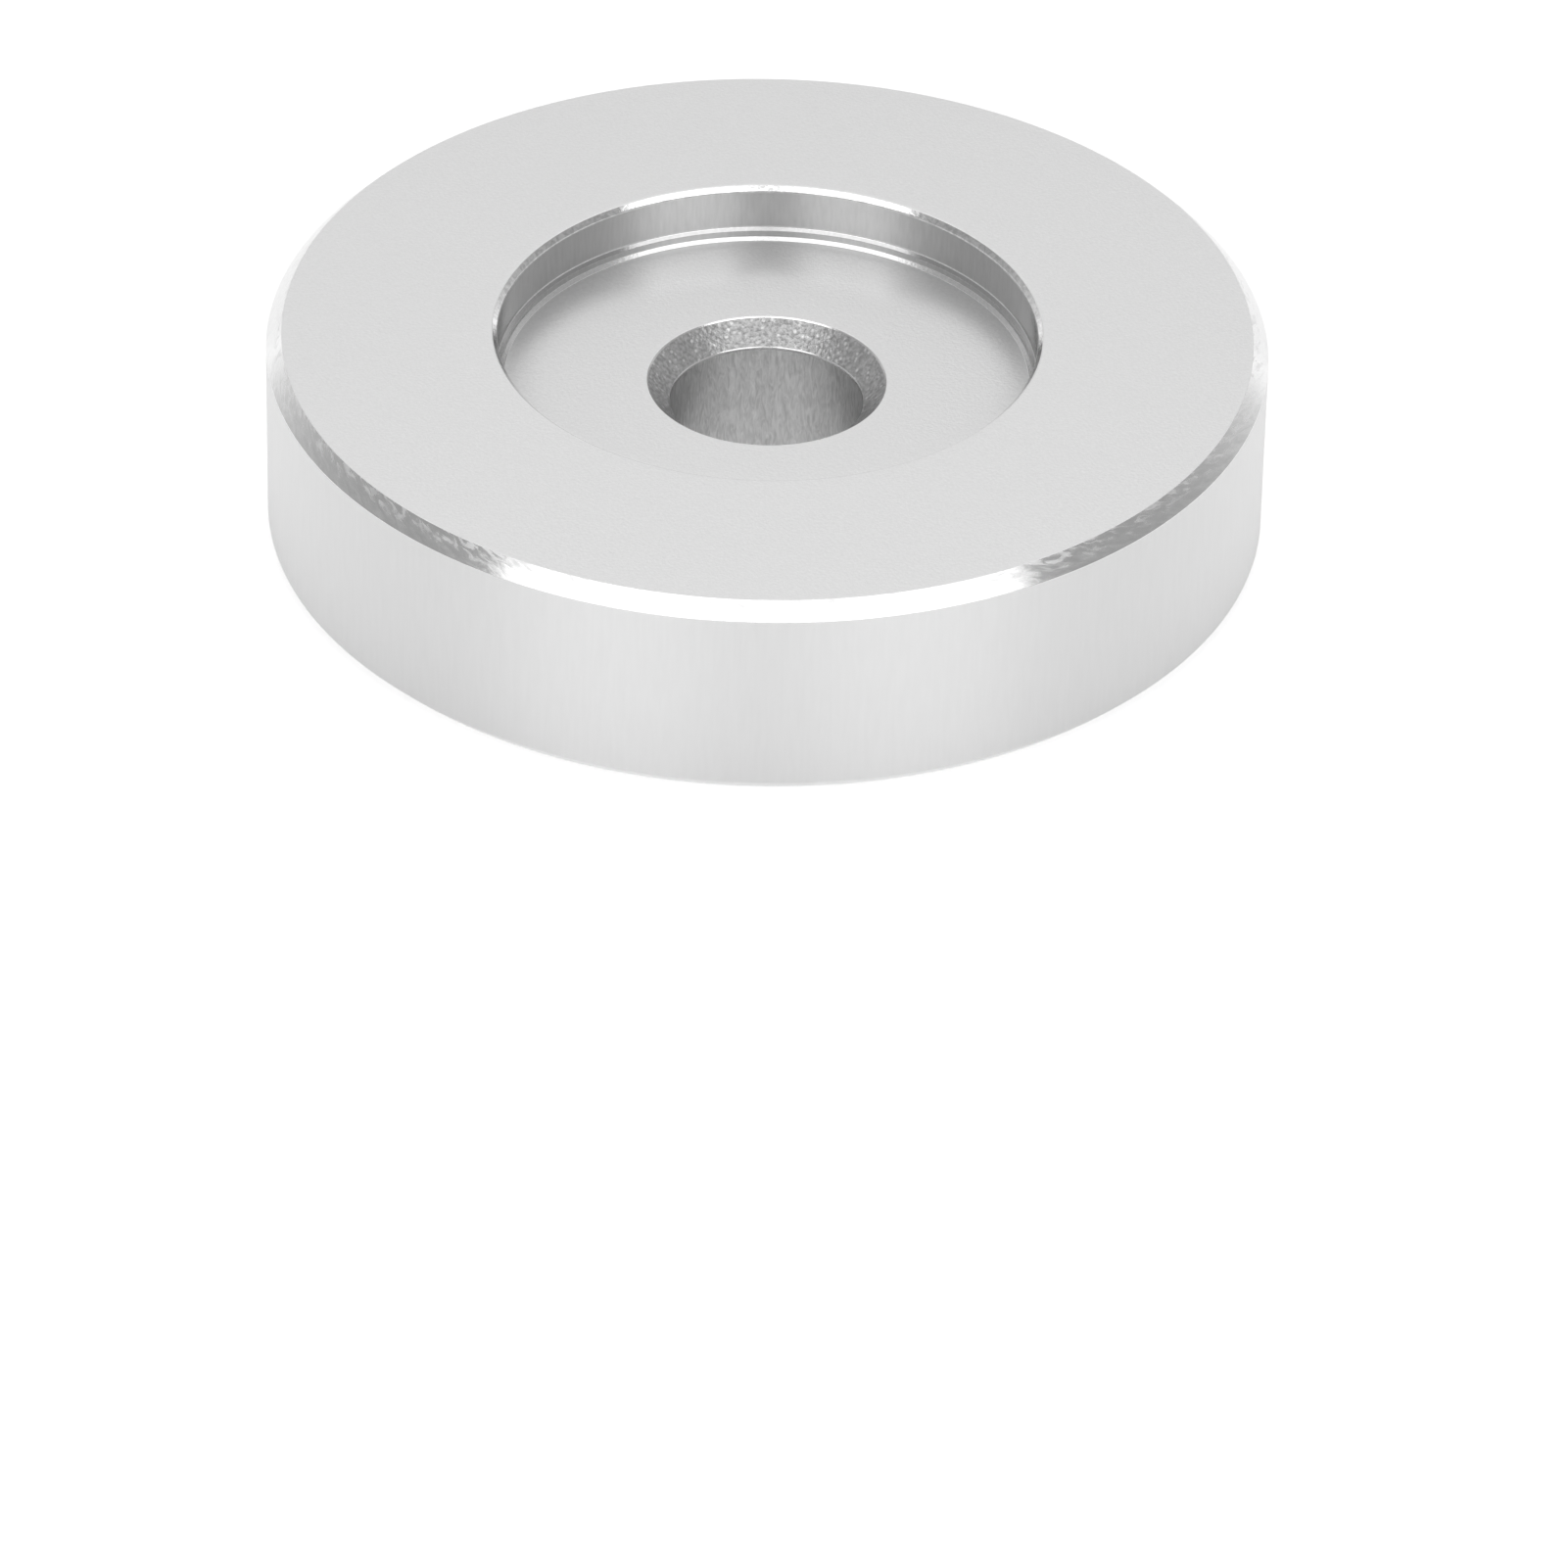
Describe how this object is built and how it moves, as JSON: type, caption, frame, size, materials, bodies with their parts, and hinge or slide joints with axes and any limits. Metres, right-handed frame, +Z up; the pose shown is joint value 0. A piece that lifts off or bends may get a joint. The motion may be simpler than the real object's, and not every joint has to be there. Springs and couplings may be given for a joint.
{
  "type": "record spindle adapter",
  "caption": "Low round metal disc that fills the large centre hole of a single so it sits true on a turntable spindle, with a shallow stepped recess and a countersunk spindle bore.",
  "frame": {"origin": "centre of the underside, on the turning axis, where the disc stands on a platter or table", "axes": "+Z up along the turning axis, out of the recessed side; X and Y lie in the underside and are alike, because the piece is round"},
  "size_m": [0.038, 0.038, 0.0082],
  "materials": {
    "satin_aluminium": "bead-blasted and clear anodised satin silver, with bright cut edges"
  },
  "bodies": {
    "root": {"adapter_body": "satin_aluminium"}
  },
  "joints": []
}
